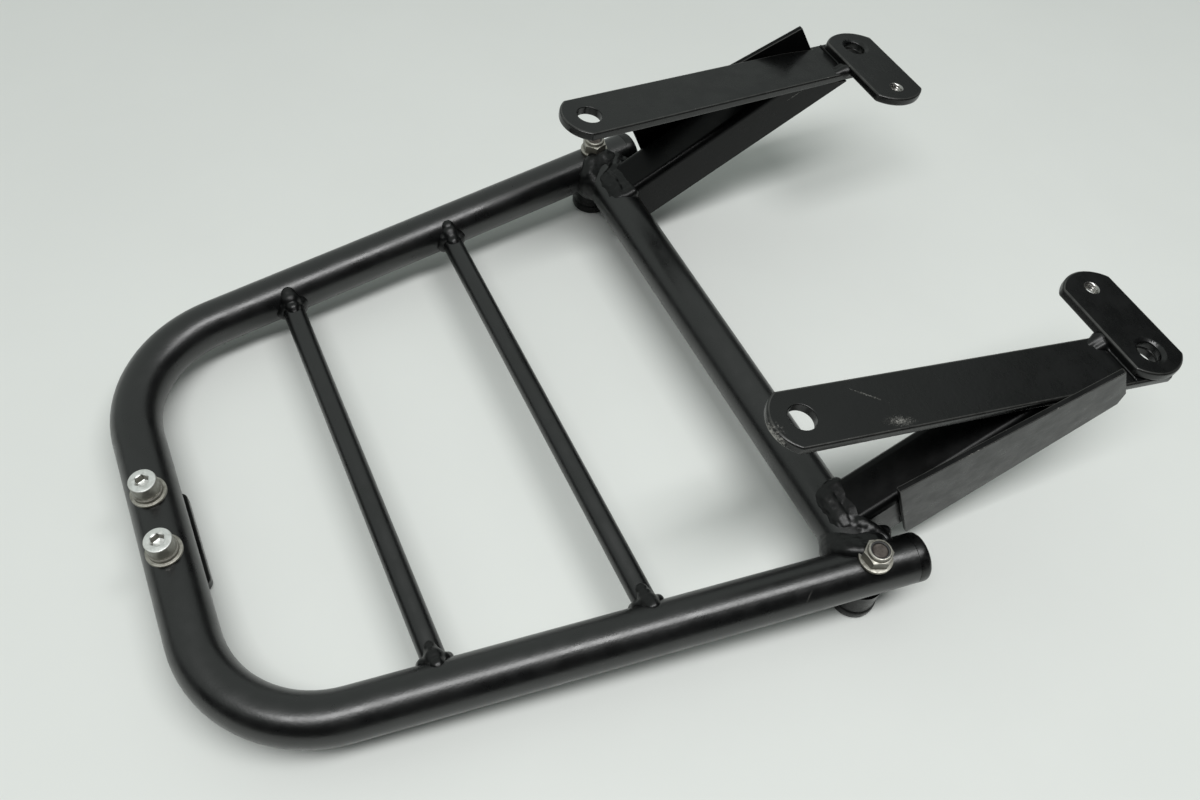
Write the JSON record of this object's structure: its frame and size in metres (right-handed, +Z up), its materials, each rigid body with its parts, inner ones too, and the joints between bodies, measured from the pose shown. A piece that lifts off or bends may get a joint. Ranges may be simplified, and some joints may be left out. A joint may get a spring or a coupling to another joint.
{
  "type": "motorbike top case bracket",
  "caption": "Welded black tubular rack with a bent hoop, thin cross rods and raised flat-bar brackets with bolt holes, carrying a motorbike top case.",
  "frame": {"origin": "middle of the footprint, on the plane the two feet stand on, with the hoop level", "axes": "+X forward from the hoop's rear bar to the end plates, +Y left, +Z up"},
  "size_m": [0.5068, 0.3478, 0.1215],
  "materials": {
    "black_paint": "semi-gloss black paint",
    "zinc": "zinc plated",
    "dull_steel": "dull, lightly rusted",
    "black_plastic": "moulded",
    "black_rubber": "moulded",
    "nylon": "moulded"
  },
  "bodies": {
    "root": {"hoop_tube": "black_paint", "cross_tube": "black_paint", "rear_rod": "black_paint", "front_rod": "black_paint", "left_strap": "black_paint", "right_strap": "black_paint", "left_end_plate": "black_paint", "right_end_plate": "black_paint", "left_strut": "black_paint", "right_strut": "black_paint", "left_side_plate": "black_paint", "right_side_plate": "black_paint", "left_end_plug": "black_plastic", "right_end_plug": "black_plastic", "clamp_plate": "black_paint", "rear_screws": "zinc", "rear_spring_washers": "zinc", "rear_washers": "zinc", "foot_bolts": "dull_steel", "foot_washers": "zinc", "lock_nuts": "zinc", "nut_inserts": "nylon", "left_foot": "black_rubber", "right_foot": "black_rubber", "rod_welds": "black_paint", "cross_tube_welds": "black_paint", "strut_welds": "black_paint", "end_plate_welds": "black_paint"}
  },
  "joints": []
}
